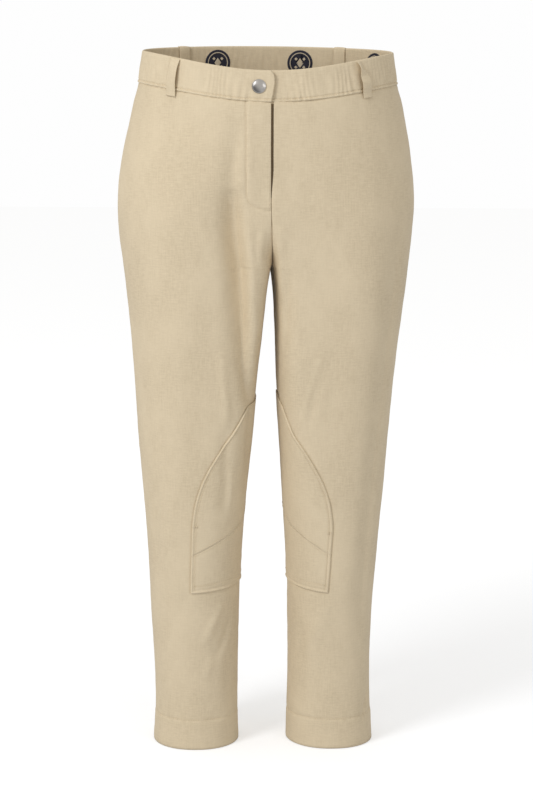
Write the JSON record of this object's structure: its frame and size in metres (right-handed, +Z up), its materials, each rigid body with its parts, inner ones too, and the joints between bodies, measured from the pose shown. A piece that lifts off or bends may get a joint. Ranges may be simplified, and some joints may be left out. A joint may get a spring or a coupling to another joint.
{
  "type": "cropped riding trousers",
  "caption": "Cropped riding trousers in woven twill with a contoured waistband, a snap over a zip fly, belt loops and sewn inner knee patches, filled out as if worn.",
  "frame": {"origin": "the middle of the waist opening, level with the waistband's top edge at the sides", "axes": "+Z up toward the waist, the front faces -Y, the wearer's right is -X"},
  "size_m": [0.3847, 0.2555, 0.92],
  "materials": {
    "beige_twill": "matt cotton twill, light beige",
    "beige_twill_inside": "matt cotton twill, the cloth's inside",
    "zip_tape": "woven zip tape, darker beige",
    "satin_silver": "satin silver",
    "navy_disc": "matt navy"
  },
  "bodies": {
    "root": {"back_left": "beige_twill", "back_right": "beige_twill", "belt_loop_back_left": "beige_twill", "belt_loop_back_right": "beige_twill", "belt_loop_front_left": "beige_twill", "belt_loop_front_right": "beige_twill", "fly_shield": "beige_twill_inside", "fly_zip": "zip_tape", "front_left": "beige_twill", "front_right": "beige_twill", "knee_patch_lower_left": "beige_twill", "knee_patch_lower_right": "beige_twill", "knee_patch_upper_left": "beige_twill", "knee_patch_upper_right": "beige_twill", "snap_cap": "satin_silver", "snap_stud": "satin_silver", "waist_disc_left_1": "navy_disc", "waist_disc_left_2": "navy_disc", "waist_disc_right_1": "navy_disc", "waist_disc_right_2": "navy_disc", "waistband": "beige_twill"}
  },
  "joints": []
}
